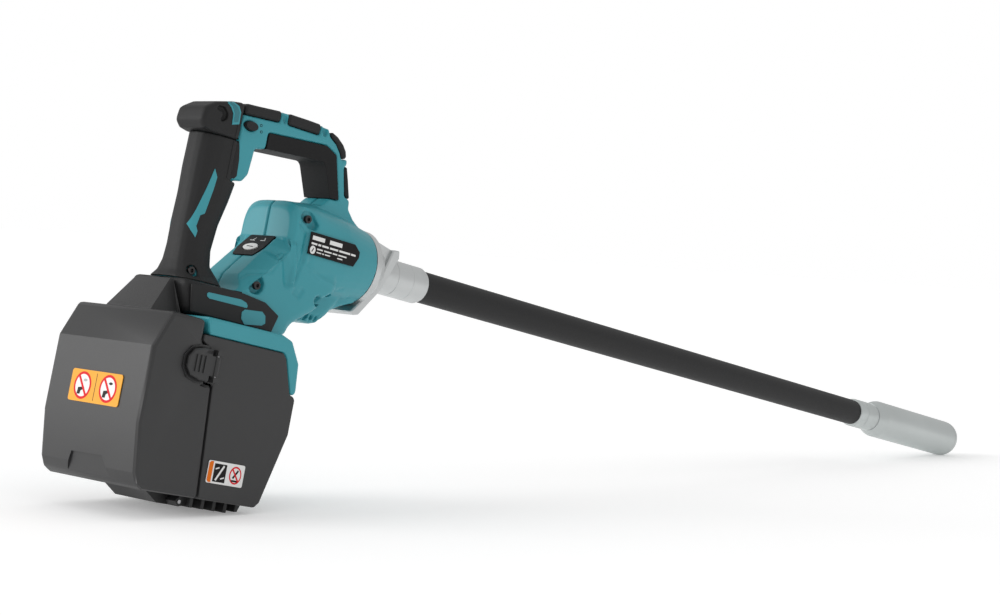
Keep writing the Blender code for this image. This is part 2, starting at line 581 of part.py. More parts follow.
cut(lid, rod("hinge_bore_lid", (HINGE_X, -60.0, HINGE_Z), 120.0, 1.8, "Y", None, 16))
for y in (-37.5, 24.7):
    cut(lid, box(f"knuckle_gap_{y > 0}", (-244.0, y, -215.0), (-225.0, y + 12.8, -203.2)))

rod("hinge_pin", (HINGE_X, -37.6, HINGE_Z), 75.2, 1.5, "Y", SHAFT, 16)

# ---- latches: one on each side, turning about an upright pin on the front shell ----
LATCH_X, LATCH_Y = -248.6, CASE_HALF + 3.2
for side, sign in (("left", 1), ("right", -1)):
    y = sign * LATCH_Y
    pivot = (LATCH_X, y, -106.5)
    blade = [(-253.5, -95.0), (-262.0, -95.0), (-270.5, -97.0), (-275.0, -103.0), (-275.0, -110.5),
             (-270.5, -116.0), (-262.0, -118.5), (-253.5, -118.5)]
    low, high = sorted((sign * (CASE_HALF + 0.6), sign * (CASE_HALF + 4.0)))
    latch = bevel(outline(f"latch_{side}", blade, low, high, CASE, "Y", pivot), 0.9, 1)
    tab = box(f"latch_tab_{side}", (-255.0, low, -114.0), (LATCH_X, high, -99.5))
    eye = rod(f"latch_eye_{side}", (LATCH_X, y, -114.0), 14.5, 2.4, "Z", None, 14)
    join(latch, tab, eye)
    cut(latch, rod(f"latch_bore_{side}", (LATCH_X, y, -130.0), 50.0, 1.25, "Z", None, 12))
    for i in range(3):
        near, far = sorted((sign * (CASE_HALF + 2.0), sign * (CASE_HALF + 4.9)))
        rib = box(f"latch_rib_{side}_{i}", (-268.5 + 4.0 * i, near, -113.0),
                  (-267.0 + 4.0 * i, far, -100.5))
        join(latch, rib)
    rod(f"latch_pin_{side}", (LATCH_X, y, -118.0), 22.5, 1.0, "Z", SHAFT, 12)
    for level in (-118.6, -98.9):
        lug = box(f"latch_lug_{side}_{level}", (-251.2, min(sign * 56.5, sign * 63.3), level),
                  (-245.4, max(sign * 56.5, sign * 63.3), level + 4.0))
        join(shell, lug)
    cut(shell, rod(f"lug_bore_{side}", (LATCH_X, y, -118.9), 30.0, 1.3, "Z", None, 12))

# ---- battery and its terminal ----
pack = bevel(box("battery_pack", (-294.0, -40.0, -190.0), (-183.0, 40.0, -104.0), PACK), 4.0)
box("terminal_block", (-252.0, -24.0, -103.7), (-188.0, 24.0, -88.7), SWITCH)

# ---- plates and labels ----
box("rear_label", (CASE_REAR - 0.8, -31.0, -148.5), (CASE_REAR - GAP, 29.0, -125.0), YELLOW)
box("side_label", (-236.0, -CASE_HALF - 0.8, -190.0), (-201.0, -CASE_HALF - GAP, -173.5), WHITE)
RATING = ((-160.0, 13.0), (-112.0, 13.0), (-105.5, 8.0), (-105.5, 3.5), (-110.0, -4.5), (-160.0, -4.5))
outline("rating_plate", RATING, -35.6, -34.8, GLOSS)
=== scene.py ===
# %% [markdown]
# # A cordless concrete vibrator
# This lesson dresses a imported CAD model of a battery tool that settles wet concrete. A motor in a teal
# plastic housing turns a flexible shaft, and the shaft shakes a steel head. The CAD gives every part its
# size and its place. Here each part gets its rounded edges, its small marks and its finish.

# %% Load the frame
import json
import math

import bmesh
import bpy
from mathutils import Matrix, Vector
from mathutils.bvhtree import BVHTree


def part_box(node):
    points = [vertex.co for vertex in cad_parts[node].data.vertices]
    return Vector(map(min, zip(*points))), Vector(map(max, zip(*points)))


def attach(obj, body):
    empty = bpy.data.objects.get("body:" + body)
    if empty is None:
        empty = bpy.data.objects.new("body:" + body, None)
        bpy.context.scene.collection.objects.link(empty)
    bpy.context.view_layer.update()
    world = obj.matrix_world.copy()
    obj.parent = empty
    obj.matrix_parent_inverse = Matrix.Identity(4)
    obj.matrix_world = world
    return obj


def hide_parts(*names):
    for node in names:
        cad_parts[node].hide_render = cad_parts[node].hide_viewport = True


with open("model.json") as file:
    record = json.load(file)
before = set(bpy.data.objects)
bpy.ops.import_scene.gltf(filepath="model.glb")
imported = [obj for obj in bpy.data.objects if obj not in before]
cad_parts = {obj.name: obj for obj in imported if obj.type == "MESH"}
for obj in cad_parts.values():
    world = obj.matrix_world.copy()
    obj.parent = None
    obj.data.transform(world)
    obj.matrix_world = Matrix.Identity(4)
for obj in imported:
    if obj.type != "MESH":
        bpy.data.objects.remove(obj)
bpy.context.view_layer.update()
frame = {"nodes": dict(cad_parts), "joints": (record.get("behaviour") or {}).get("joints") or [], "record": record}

# %% [markdown]
# The tool lies on its foot and its head, so its shaft slopes. All drawing is done in millimetres along the
# tool: X runs down the shaft, Y to the left and Z up. The spin axis of the drive gives that direction, so one
# matrix takes every drawing to its place.

# %% The tool's own axes
drive = next(joint for joint in frame["joints"] if joint["name"] == "drive_spin")
MM = 0.001
along = Vector(drive["axis"]).normalized()
left = Vector((0.0, 1.0, 0.0))
upward = along.cross(left)
on_tool = Matrix((
    (along.x, left.x, upward.x, drive["pos_m"][0]),
    (along.y, left.y, upward.y, drive["pos_m"][1]),
    (along.z, left.z, upward.z, drive["pos_m"][2]),
    (0.0, 0.0, 0.0, 1.0))) @ Matrix.Scale(MM, 4)
off_tool = on_tool.inverted()
bodies = frame["record"]["behaviour"]["bodies"]
body_of_node = {node: body for body, nodes in bodies.items() for node in nodes}
print("shaft slopes by", round(math.degrees(math.asin(-along.z)), 2), "degrees")

# %% [markdown]
# The camera stands low, behind the tool and to its right, and looks along the shaft. A 72 mm lens from
# about two metres gives mild perspective.

# %% Camera
LENS_MM, FILM_MM = 72.0, 36.0
CAMERA_RIGHT = (0.67322, -0.73680, 0.06252)
CAMERA_UP = (-0.01994, 0.06642, 0.99759)
CAMERA_BACK = (-0.73918, -0.67284, 0.03002)
CAMERA_AT = (-1.48394, -1.18643, 0.21030)
camera_data = bpy.data.cameras.new("camera")
camera_data.lens = LENS_MM
camera_data.sensor_width = FILM_MM
camera = bpy.data.objects.new("camera", camera_data)
bpy.context.scene.collection.objects.link(camera)
turn = Matrix((CAMERA_RIGHT, CAMERA_UP, CAMERA_BACK)).transposed()
camera.matrix_world = Matrix.Translation(CAMERA_AT) @ turn.to_4x4()
bpy.context.scene.camera = camera
print("camera stands", round(Vector(CAMERA_AT).length, 2), "m from the middle of the floor")

# %% [markdown]
# A product studio has a wide, soft key light. Here a sun with a broad disc stands behind the tool, where the
# battery lid faces, so the rear faces are lighter than the sides. A soft box further to the left is mirrored
# in the lid, and a white world fills the shadows. The paper floor glows a little, so that it stays white.

# %% Floor and lights
FLOOR_SIZE = 30.0
PAPER_WHITE, PAPER_GLOW = 0.93, 0.23
SUN_STRENGTH, SUN_SPREAD, SUN_TRAVEL = 1.2, math.radians(32.0), Vector((0.86, -0.38, -0.38))
WORLD_FILL = 0.70


def studio():
    bm = bmesh.new()
    bmesh.ops.create_grid(bm, x_segments=1, y_segments=1, size=FLOOR_SIZE)
    mesh = bpy.data.meshes.new("floor")
    bm.to_mesh(mesh)
    bm.free()
    paper = bpy.data.materials.new("floor_paper")
    paper.use_nodes = True
    shader = paper.node_tree.nodes["Principled BSDF"]
    shader.inputs["Base Color"].default_value = (PAPER_WHITE, PAPER_WHITE, PAPER_WHITE, 1.0)
    shader.inputs["Roughness"].default_value = 0.9
    shader.inputs["Specular IOR Level"].default_value = 0.1
    shader.inputs["Emission Color"].default_value = (1.0, 1.0, 1.0, 1.0)
    shader.inputs["Emission Strength"].default_value = PAPER_GLOW
    mesh.materials.append(paper)
    floor = bpy.data.objects.new("floor", mesh)
    bpy.context.scene.collection.objects.link(floor)


def soft_box(name, place, target, width, height, power):
    lamp = bpy.data.lights.new(name, "AREA")
    lamp.shape = "RECTANGLE"
    lamp.size = width
    lamp.size_y = height
    lamp.energy = power
    box = bpy.data.objects.new(name, lamp)
    bpy.context.scene.collection.objects.link(box)
    box.location = place
    box.rotation_mode = "QUATERNION"
    box.rotation_quaternion = (Vector(target) - Vector(place)).to_track_quat("-Z", "Y")
    return box


studio()
sun = bpy.data.lights.new("rear_sun", "SUN")
sun.energy = SUN_STRENGTH
sun.angle = SUN_SPREAD
rear_sun = bpy.data.objects.new("rear_sun", sun)
bpy.context.scene.collection.objects.link(rear_sun)
rear_sun.rotation_mode = "QUATERNION"
rear_sun.rotation_quaternion = SUN_TRAVEL.to_track_quat("-Z", "Y")
soft_box("lid_sheen", (-2.6, 1.9, 0.55), (-0.6, 0.0, 0.12), 1.1, 0.7, 13.0)

# %% The white world
world = bpy.data.worlds.new("studio")
bpy.context.scene.world = world
world.use_nodes = True
sky = world.node_tree
dim = sky.nodes["Background"]
dim.inputs["Color"].default_value = (1.0, 1.0, 1.0, 1.0)
dim.inputs["Strength"].default_value = WORLD_FILL
backdrop = sky.nodes.new("ShaderNodeBackground")
backdrop.inputs["Color"].default_value = (1.0, 1.0, 1.0, 1.0)
backdrop.inputs["Strength"].default_value = 1.0
rays = sky.nodes.new("ShaderNodeLightPath")
either = sky.nodes.new("ShaderNodeMixShader")
sky.links.new(rays.outputs["Is Camera Ray"], either.inputs[0])
sky.links.new(dim.outputs[0], either.inputs[1])
sky.links.new(backdrop.outputs[0], either.inputs[2])
sky.links.new(either.outputs[0], sky.nodes["World Output"].inputs["Surface"])
bpy.context.scene.view_settings.view_transform = "Standard"
print("world fill", WORLD_FILL, "and sun", SUN_STRENGTH)

# %% [markdown]
# ## Finishes
# Moulded plastic has a fine grain and is never one flat colour. Each finish below varies its colour a little
# over a hand's width, and its roughness and surface over less than a millimetre. Patterns read Object
# coordinates, because every piece keeps its place in its mesh.


# %% A finish with mottle and grain
MOTTLE_SCALE, ROUGHNESS_SPREAD, RELIEF_STRENGTH = 16.0, 0.07, 0.6


def finish(name, colour, roughness, grain, relief, metallic=0.0, mottle=0.08, gloss=0.5):
    """grain is the size of the surface texture and relief its depth in mm, and gloss is the mirror share."""
    made = bpy.data.materials.new(name)
    made.use_nodes = True
    nodes, links = made.node_tree.nodes, made.node_tree.links
    shader = nodes["Principled BSDF"]
    shader.inputs["Metallic"].default_value = metallic
    shader.inputs["Specular IOR Level"].default_value = gloss
    place = nodes.new("ShaderNodeTexCoord")
    broad = nodes.new("ShaderNodeTexNoise")
    broad.inputs["Scale"].default_value = MOTTLE_SCALE
    broad.inputs["Detail"].default_value = 4.0
    links.new(place.outputs["Object"], broad.inputs["Vector"])
    tint = nodes.new("ShaderNodeMix")
    tint.data_type = "RGBA"
    tint.inputs[6].default_value = (*[c * (1.0 - mottle) for c in colour], 1.0)
    tint.inputs[7].default_value = (*[min(1.0, c * (1.0 + mottle)) for c in colour], 1.0)
    links.new(broad.outputs["Fac"], tint.inputs[0])
    links.new(tint.outputs[2], shader.inputs["Base Color"])
    fine = nodes.new("ShaderNodeTexNoise")
    fine.inputs["Scale"].default_value = 1.0 / (grain * MM)
    fine.inputs["Detail"].default_value = 3.0
    links.new(place.outputs["Object"], fine.inputs["Vector"])
    spread = nodes.new("ShaderNodeMapRange")
    spread.inputs["From Min"].default_value = 0.3
    spread.inputs["From Max"].default_value = 0.7
    spread.inputs["To Min"].default_value = roughness - ROUGHNESS_SPREAD
    spread.inputs["To Max"].default_value = roughness + ROUGHNESS_SPREAD
    links.new(fine.outputs["Fac"], spread.inputs["Value"])
    links.new(spread.outputs["Result"], shader.inputs["Roughness"])
    bump = nodes.new("ShaderNodeBump")
    bump.inputs["Strength"].default_value = RELIEF_STRENGTH
    bump.inputs["Distance"].default_value = relief * MM
    links.new(fine.outputs["Fac"], bump.inputs["Height"])
    links.new(bump.outputs["Normal"], shader.inputs["Normal"])
    return made


# %% The tool's finishes
FINISHES = {
    "housing_teal": finish("housing_teal", (0.033, 0.285, 0.335), 0.42, 0.45, 0.02),
    "overmould_black": finish("overmould_black", (0.0132, 0.0132, 0.0137), 0.60, 0.6, 0.05, gloss=0.32),
    # the carrying grip's black is the overmould black made darker still: painted shade for its underside and the
    # inner faces of its loop
    "soft_rubber_painted_shade": finish("soft_rubber_painted_shade", (0.0085, 0.0085, 0.009), 0.68, 0.8, 0.06, gloss=0.25),
    "case_grey": finish("case_grey", (0.0265, 0.0265, 0.0272), 0.43, 0.5, 0.03, gloss=0.45),
    "hose_rubber": finish("hose_rubber", (0.015, 0.015, 0.0155), 0.60, 0.8, 0.05, gloss=0.30),
    "cast_aluminium": finish("cast_aluminium", (0.56, 0.575, 0.575), 0.40, 0.5, 0.02, metallic=0.85),
    "head_steel": finish("head_steel", (0.52, 0.55, 0.545), 0.42, 0.35, 0.012, metallic=0.8),
    "drive_steel": finish("drive_steel", (0.45, 0.45, 0.46), 0.32, 0.4, 0.01, metallic=1.0),
    "screw_black_steel": finish("screw_black_steel", (0.05, 0.047, 0.048), 0.35, 0.3, 0.02, metallic=0.9),
    "winding_copper": finish("winding_copper", (0.48, 0.19, 0.08), 0.38, 0.9, 0.2, metallic=1.0),
    "board_green": finish("board_green", (0.03, 0.12, 0.055), 0.45, 2.0, 0.2, mottle=0.3),
    "switch_plastic": finish("switch_plastic", (0.09, 0.088, 0.085), 0.5, 0.5, 0.03),
    "battery_black": finish("battery_black", (0.028, 0.028, 0.03), 0.5, 0.5, 0.04),
    "label_yellow": finish("label_yellow", (0.80, 0.36, 0.028), 0.5, 1.5, 0.005, mottle=0.02, gloss=0.3),
    "label_white": finish("label_white", (0.76, 0.76, 0.75), 0.5, 1.5, 0.005, mottle=0.02, gloss=0.3),
    "plate_black": finish("plate_black", (0.006, 0.0045, 0.0045), 0.45, 1.5, 0.005, mottle=0.02, gloss=0.18),
    "mode_key_white": finish("mode_key_white", (0.72, 0.72, 0.71), 0.4, 1.0, 0.005, mottle=0.02, gloss=0.3),
}
# a darker teal for the inside of each strap slot: painted shade of the groove, laid on as a flat sheet
SLOT_PAINTED_SHADE = finish("slot_teal_painted_shade", (0.020, 0.17, 0.205), 0.42, 0.45, 0.02)
INK_RED = finish("ink_red", (0.66, 0.006, 0.012), 0.5, 1.5, 0.004, mottle=0.02, gloss=0.2)
INK_BLACK = finish("ink_black", (0.006, 0.005, 0.005), 0.5, 1.5, 0.004, mottle=0.02, gloss=0.2)
INK_ORANGE = finish("ink_orange", (0.72, 0.155, 0.004), 0.5, 1.5, 0.004, mottle=0.02, gloss=0.2)
INK_GREY = finish("ink_grey", (0.42, 0.42, 0.42), 0.5, 1.5, 0.004, mottle=0.02, gloss=0.2)
for part in frame["record"]["subparts"]:
    node = frame["nodes"][part["node"]]
    node.data.materials.clear()
    node.data.materials.append(FINISHES[part["material_slot"]])
slot_of_node = {part["node"]: part["material_slot"] for part in frame["record"]["subparts"]}
print(len(FINISHES), "finishes on", len(slot_of_node), "CAD nodes")

# %% [markdown]
# ## Helpers
# Three ways of making a piece cover most of this tool. A round part is a profile spun about the shaft. A
# moulded part is a merged copy of its CAD node with every hard edge rounded. A mark is a thin sheet cut to
# its outline and laid on the surface below it.


# %% Put a drawn shape in its place
def settle(name, bm, skin, body, stands_for=(), crease=35.0, weighted=False):
    """A finished shape as an object at the origin that rides on a body and may stand for CAD nodes."""
    bm.transform(on_tool)
    mesh = bpy.data.meshes.new(name)
    bm.to_mesh(mesh)
    bm.free()
    mesh.materials.append(skin)
    mesh.shade_smooth()
    mesh.set_sharp_from_angle(angle=math.radians(crease))
    piece = bpy.data.objects.new(name, mesh)
    bpy.context.scene.collection.objects.link(piece)
    if weighted:
        even = piece.modifiers.new("even_normals", "WEIGHTED_NORMAL")
        even.keep_sharp = True
    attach(piece, body)
    if stands_for:
        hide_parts(*stands_for)
    return piece


# %% Round parts
def spun(profile, steps=96, centre=(0.0, 0.0, 0.0), axis=(1.0, 0.0, 0.0)):
    """Points (X, radius) joined and spun once about a line along X; the ends that reach the axis close it."""
    bm = bmesh.new()
    points = [bm.verts.new((x + centre[0], centre[1], r + centre[2])) for x, r in profile]
    edges = [bm.edges.new((a, b)) for a, b in zip(points, points[1:])]
    if profile[0] != profile[-1] and (profile[0][1] > 0.0 or profile[-1][1] > 0.0):
        edges.append(bm.edges.new((points[-1], points[0])))
    bmesh.ops.spin(bm, geom=points + edges, cent=centre, axis=axis, angle=math.tau, steps=steps,
                   use_merge=True, use_normal_flip=False, use_duplicate=False)
    bmesh.ops.remove_doubles(bm, verts=bm.verts, dist=0.001)
    bmesh.ops.recalc_face_normals(bm, faces=bm.faces)
    return bm


# %% Flat shapes with thickness
def slab(points, low, high, across="Y"):
    """An outline of (X, Z) points filled and extruded along Y; across "X" draws (Y, Z) points instead."""
    bm = bmesh.new()
    if across == "Y":
        corners = [bm.verts.new((x, low, z)) for x, z in points]
        run = Vector((0.0, high - low, 0.0))
    else:
        corners = [bm.verts.new((low, y, z)) for y, z in points]
        run = Vector((high - low, 0.0, 0.0))
    face = bm.faces.new(corners)
    made = bmesh.ops.extrude_face_region(bm, geom=[face])
    bmesh.ops.translate(bm, vec=run, verts=[v for v in made["geom"] if isinstance(v, bmesh.types.BMVert)])
    bmesh.ops.recalc_face_normals(bm, faces=bm.faces)
    return bm


def round_edges(bm, width, segments=3, angle=25.0):
    """Rounds every edge that turns by more than the angle."""
    sharp = [e for e in bm.edges if len(e.link_faces) == 2 and e.calc_face_angle(0.0) > math.radians(angle)]
    bmesh.ops.bevel(bm, geom=sharp, offset=width, segments=segments, profile=0.5, affect="EDGES",
                    material=-1, clamp_overlap=True)
    return bm


def ring_points(centre, a, b, count=48):
    """Points round an oval with half axes a and b."""
    ring = []
    for i in range(count):
        t = math.tau * i / count
        c, s = math.cos(t), math.sin(t)
        ring.append((centre[0] + a * c, centre[1] + b * s))
    return ring


# %% Merged copies of CAD nodes
def cad_copy(node):
    """The node's mesh in millimetres along the tool, merged, with flat faces joined up again."""
    bm = bmesh.new()
    bm.from_mesh(frame["nodes"][node].data)
    bm.transform(off_tool)
    bmesh.ops.remove_doubles(bm, verts=bm.verts, dist=0.01)
    bmesh.ops.dissolve_limit(bm, angle_limit=math.radians(0.4), verts=bm.verts, edges=bm.edges,
                             use_dissolve_boundaries=False)
    return bm


def as_object(bm, name):
    """A bmesh as a working object for modifiers."""
    mesh = bpy.data.meshes.new(name)
    bm.to_mesh(mesh)
    bm.free()
    made = bpy.data.objects.new(name, mesh)
    bpy.context.scene.collection.objects.link(made)
    return made


def through_modifiers(worked):
    """The shape as its modifiers leave it, back as a bmesh, with the working object removed."""
    bpy.context.view_layer.update()
    shaped = worked.evaluated_get(bpy.context.evaluated_depsgraph_get())
    bm = bmesh.new()
    bm.from_mesh(shaped.to_mesh())
    shaped.to_mesh_clear()
    bpy.data.objects.remove(worked)
    return bm


def carved(bm, *cutters):
    """bm with each cutter shape taken out of it."""
    worked = as_object(bm, "worked")
    tools = [as_object(cutter, "cutter") for cutter in cutters]
    for tool in tools:
        cut = worked.modifiers.new("cut", "BOOLEAN")
        cut.operation = "DIFFERENCE"
        cut.solver = "EXACT"
        cut.object = tool
    result = through_modifiers(worked)
    for tool in tools:
        bpy.data.objects.remove(tool)
    return result


def moulded(bm, voxel, passes, strength=0.5):
    """One soft skin over the whole shape, as a moulding has: remeshed evenly, then relaxed."""
    worked = as_object(bm, "worked")
    skin = worked.modifiers.new("skin", "REMESH")
    skin.mode = "VOXEL"
    skin.voxel_size = voxel
    skin.adaptivity = 0.0
    relax = worked.modifiers.new("relax", "SMOOTH")
    relax.factor = strength
    relax.iterations = passes
    return through_modifiers(worked)


def rounded_copy(node, width=0.6, segments=3, angle=28.0, crease=40.0):
    """A CAD node with its hard edges rounded, standing for that node."""
    bm = round_edges(cad_copy(node), width, segments, angle)
    return settle(f"{node}_surface", bm, FINISHES[slot_of_node[node]],
                  body_of_node[node], (node,), crease, weighted=True)


# %% [markdown]
# A mark starts as a flat outline cut into small squares. Each corner of them is dropped on the surface below,
# so the sheet bends with it, and a little thickness then lets it stand proud.

# %% Marks and inlays
def surface_of(*pieces):
    """A tree that finds where a line meets the finished pieces, in millimetres along the tool."""
    bm = bmesh.new()
    for piece in pieces:
        bm.from_mesh(piece.data)
    bm.transform(off_tool)
    tree = BVHTree.FromBMesh(bm)
    bm.free()
    return tree


FAR = 400.0                              # further out than any face of the tool


def inlay(name, points, below, skin, body, side=-1, proud=0.25, sink=0.5, step=2.0, toward="Y"):
    """A thin sheet cut to an outline that follows the surface below it, seen from one side of the tool."""
    bm = bmesh.new()
    axis = 1 if toward == "Y" else 0
    others = (0, 2) if toward == "Y" else (1, 2)
    corners = []
    for u, v in points:
        spot = [0.0, 0.0, 0.0]
        spot[others[0]], spot[others[1]] = u, v
        corners.append(bm.verts.new(spot))
    bm.faces.new(corners)
    for i in (0, 1):
        low = min(p[i] for p in points)
        high = max(p[i] for p in points)
        level = low + step
        while level < high - 0.2 * step:
            normal = [0.0, 0.0, 0.0]
            normal[others[i]] = 1.0
            where = [0.0, 0.0, 0.0]
            where[others[i]] = level
            bmesh.ops.bisect_plane(bm, geom=list(bm.verts) + list(bm.edges) + list(bm.faces), dist=0.001,
                                   plane_co=where, plane_no=normal)
            level += step
    direction = Vector((0.0, 0.0, 0.0))
    direction[axis] = -side
    missed = []
    for vert in bm.verts:
        start = vert.co.copy()
        start[axis] = side * FAR
        hit = below.ray_cast(start, direction)[0]
        if hit is None:
            missed.append(vert)
        else:
            vert.co[axis] = hit[axis] + side * proud
    bmesh.ops.delete(bm, geom=missed, context="VERTS")
    made = bmesh.ops.extrude_face_region(bm, geom=list(bm.faces))
    lifted = [v for v in made["geom"] if isinstance(v, bmesh.types.BMVert)]
    back = Vector((0.0, 0.0, 0.0))
    back[axis] = -side * (proud + sink)
    bmesh.ops.translate(bm, vec=back, verts=lifted)
    bmesh.ops.recalc_face_normals(bm, faces=bm.faces)
    return settle(name, bm, skin, body, crease=40.0)


# %% [markdown]
# ## The head and the shaft
# These are turned parts, so each is a profile spun about the shaft. The corners of a profile carry their own
# small chamfers, because a lathe leaves them and light catches on them.

# %% Head, connector and hose
hose_low, hose_high = [off_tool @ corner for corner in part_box("rubber_hose")]
HOSE_R, HOSE_END = 13.4, 696.4
HEAD_R, HEAD_START, HEAD_DOME, HEAD_TIP = 20.0, 733.0, 897.0, 912.0

settle("hose_cover", spun((
    (HOSE_END, 9.0), (HOSE_END, HOSE_R - 0.8), (HOSE_END - 0.8, HOSE_R), (-12.7, HOSE_R),
    (-13.4, HOSE_R - 0.7), (-13.4, 9.0)), 96),
    FINISHES["hose_rubber"], "tool", ("rubber_hose",))
settle("connector_surface", spun((
    (732.6, 7.0), (732.6, 14.9), (726.0, 15.1), (712.0, 15.1), (711.4, 14.8), (710.8, 15.1),
    (HOSE_END + 2.6, 15.1), (HOSE_END + 1.0, 14.4), (HOSE_END + 0.4, 13.6), (HOSE_END + 0.4, 7.0)), 96),
    FINISHES["head_steel"], "tool", ("head_connector",))
HEAD_BORE, SHOULDER_STEPS, DOME_STEPS = 15.5, 4, 16
head_profile = [(HEAD_DOME - 0.35, HEAD_BORE), (HEAD_DOME - 0.35, HEAD_R), (748.0, HEAD_R)]
for i in range(SHOULDER_STEPS + 1):      # a soft shoulder between the cylinder and its cone
    t = i / SHOULDER_STEPS
    head_profile.append((746.0 - 4.0 * t, HEAD_R - 0.25 - 1.55 * t ** 1.4))
head_profile += [(734.0, 15.9), (HEAD_START, 15.2), (HEAD_START, 7.0), (764.5, 7.0), (764.5, HEAD_BORE)]
settle("head_surface", spun(head_profile, 128), FINISHES["head_steel"], "tool", ("head_tube",))
dome = [(HEAD_DOME - 0.1, 0.0), (HEAD_DOME - 0.1, HEAD_R - 0.02)]
for i in range(1, DOME_STEPS + 1):       # a dome a little fuller than an ellipse
    t = math.pi / 2 * i / DOME_STEPS
    dome.append((HEAD_DOME + (HEAD_TIP - HEAD_DOME) * math.sin(t), (HEAD_R - 0.02) * math.cos(t) ** 0.75))
dome[-1] = (HEAD_TIP, 0.0)
settle("head_dome", spun(dome, 128), FINISHES["head_steel"], "tool", ("head_tip",))
print("hose cover runs", round(hose_high.x - hose_low.x, 1), "mm")

# %% [markdown]
# The coupling sleeve clamps the hose. On the real sleeve two flats take a wrench; the spun sleeve here is round
# all the way. The cast nose keeps the bent guard plate of its CAD node, with every edge rounded.

# %% Nose and coupling sleeve
sleeve = spun(((-38.0, 7.0), (-38.0, 14.7), (-37.3, 15.4), (-20.4, 15.4), (-20.0, 15.1), (-19.6, 15.4),
               (-3.8, 15.4), (-1.2, 14.3), (-1.0, 13.8), (-14.2, 13.8), (-14.2, 7.0)), 96)
settle("sleeve_surface", sleeve, FINISHES["cast_aluminium"], "tool", ("coupling_sleeve",))
nose = rounded_copy("nose_casting", 0.9, 3, 24.0)
print("nose casting:", len(nose.data.polygons), "faces after rounding")

# %% [markdown]
# ## The moulded housing
# Two clamshell halves part along the middle of the tool. A moulding has no razor edges, so each half is
# skinned again with an even mesh and relaxed a little, which blends the barrel, the ramp and the handle.
# Before that, the fan slots and the screw pockets are cut. Ribs and folds are pressed in afterwards.

# %% Cut the slots and pockets, then skin each half
VOXEL = 1.1
DIAMOND = ((-163.8, 29.0), (-158.4, 28.4), (-150.6, 19.4), (-153.4, 14.4), (-159.4, 14.6), (-165.4, 18.0),
           (-169.6, 22.6))
ARCH = ((-208.0, -42.6), (-208.2, -35.6), (-205.0, -32.2), (-197.4, -31.2), (-194.2, -36.0), (-195.0, -41.6),
        (-199.0, -45.0), (-204.6, -44.8))
LOOP_NOTCHES = (((-192.8, 101.0), (-188.2, 101.0), (-187.2, 92.8), (-189.6, 89.8), (-192.0, 92.4)),
                ((-150.8, 102.0), (-146.0, 101.0), (-144.2, 94.0), (-146.6, 90.6), (-149.4, 93.2)))
FAN_SLOTS, FAN_PITCH, FAN_RISE = 5, 5.4, 0.3
CHIN_NOTCH = ((-118.6, -26.6), (-114.7, -23.0), (-106.6, -21.6), (-109.0, -25.2), (-115.6, -27.2))
RIGHT_NOTCH = ((-136.6, -41.6), (-135.0, -36.0), (-123.2, -28.4), (-123.4, -32.8), (-131.4, -40.0))
CHIN_FAIRING = ((-116.0, -47.6), (-108.0, -41.0), (-98.0, -35.4), (-82.5, -29.6), (-82.5, -16.0),
                (-116.0, -16.0))


def side_slot(points, side, outer, inner, lean=0.0, level=0.0):
    """A cutter or block on one side of the tool; lean tips its outer face to follow a curved wall."""
    low, high = sorted((side * outer, side * inner))
    bm = slab(points, low, high)
    for vert in bm.verts:
        if abs(abs(vert.co.y) - outer) < 0.1:
            vert.co.y -= side * lean * (vert.co.z - level)
    return bm


def grown(points, factor):
    """The outline enlarged about its middle."""
    middle = (sum(x for x, z in points) / len(points), sum(z for x, z in points) / len(points))
    return [(middle[0] + factor * (x - middle[0]), middle[1] + factor * (z - middle[1])) for x, z in points]


def joined(bm, *others):
    """bm with the faces of the other shapes added, for the even skin to merge."""
    for other in others:
        mesh = bpy.data.meshes.new("added")
        other.to_mesh(mesh)
        other.free()
        bm.from_mesh(mesh)
        bpy.data.meshes.remove(mesh)
    return bm


def housing_half(node, side):
    """One half of the housing, cut and skinned. The right half also has a notch and two screw pockets."""
    cuts = []
    for i in range(FAN_SLOTS):           # slanted fan slots along the chin
        x = -143.5 + FAN_PITCH * i
        rise = FAN_RISE * i
        cuts.append(side_slot(((x, -54.2 + rise), (x + 2.7, -54.2 + rise), (x + 5.6, -47.4 + rise),
                               (x + 3.0, -47.4 + rise)), side, 26.0, 16.0))
    cuts.append(side_slot(CHIN_NOTCH, side, 40.0, 26.6))
    for notch in LOOP_NOTCHES:
        cuts.append(side_slot(notch, side, 18.0, 11.5))
    shell = cad_copy(node)
    fairing = side_slot(CHIN_FAIRING, side, 17.0, 0.2)
    shell = joined(shell, round_edges(fairing, 2.0, 2, 60.0))
    blocks = []
    if side < 0:
        cuts.append(side_slot(RIGHT_NOTCH, side, 34.0, 19.0))
        # a pocket is deeper than the wall, so a block behind it gives the pocket its sides and its floor
        diamond, arch = side_slot(DIAMOND, side, 40.0, 27.2), side_slot(ARCH, side, 40.0, 27.4)
        cuts += [diamond.copy(), arch.copy()]
        blocks.append(carved(side_slot(grown(DIAMOND, 1.35), side, 30.4, 23.0, 0.30, 21.6), diamond))
        blocks.append(carved(side_slot(grown(ARCH, 1.3), side, 32.2, 24.0), arch))
    return moulded(joined(carved(shell, *cuts), *blocks), VOXEL, 3)


# %% [markdown]
# Ribs and folds move the points of the skin. A point moves most on the middle line of a fold and not at all
# beyond its width. The black foot of the handle is the same skin, cut off along two planes.

# %% Ribs and folds
def distance_to(vert, line):
    """How far a vertex lies from a line of (X, Z) points, seen from the side."""
    spot = Vector((vert.co.x, vert.co.z))
    near = 1000.0
    for a, b in zip(line, line[1:]):
        a, run = Vector(a), Vector(b) - Vector(a)
        t = min(max((spot - a).dot(run) / run.length_squared, 0.0), 1.0)
        near = min(near, (spot - a - run * t).length)
    return near


